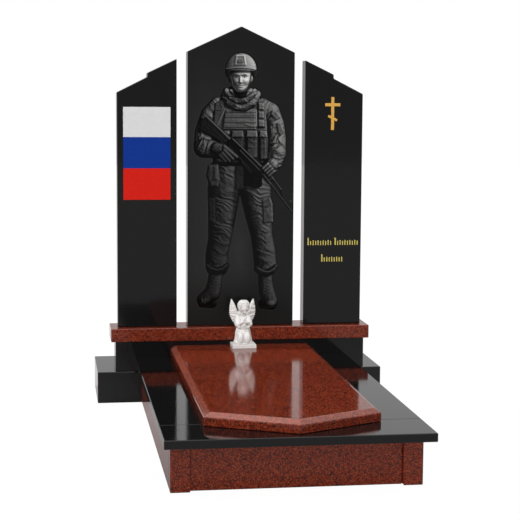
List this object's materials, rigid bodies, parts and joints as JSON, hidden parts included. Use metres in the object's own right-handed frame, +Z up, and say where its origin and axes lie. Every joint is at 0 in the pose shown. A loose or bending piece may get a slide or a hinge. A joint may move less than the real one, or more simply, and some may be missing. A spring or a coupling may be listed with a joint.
{
  "type": "military grave monument",
  "caption": "Granite grave monument: kerbed grave with a pointed tomb slab, gabled and stepped standing stones on a shelf, an engraved soldier and a kneeling marble angel.",
  "frame": {"origin": "on the ground, at the middle of the monument's overall width and length", "axes": "+Z up, +Y from the foot of the grave towards the standing stones, +X to the right as seen from the foot"},
  "size_m": [1.61, 2.5, 2.0897],
  "materials": {
    "black_granite": "polished black granite",
    "red_granite": "polished red granite with black specks",
    "white_marble": "honed white marble",
    "enamel": "flat enamel stripes",
    "gilding": "gilded engraving",
    "engraving": "grey point engraving in black granite"
  },
  "bodies": {
    "root": {"base_block": "black_granite", "pedestal": "black_granite", "shelf": "red_granite", "stela_left": "black_granite", "stela_centre": "black_granite", "stela_right": "black_granite", "kerb_post_left": "red_granite", "kerb_post_right": "red_granite", "kerb_front": "red_granite", "kerb_side_left": "red_granite", "kerb_side_right": "red_granite", "border_front": "black_granite", "border_left": "black_granite", "border_right": "black_granite", "tomb_slab": "red_granite", "angel": "white_marble"}
  },
  "joints": []
}
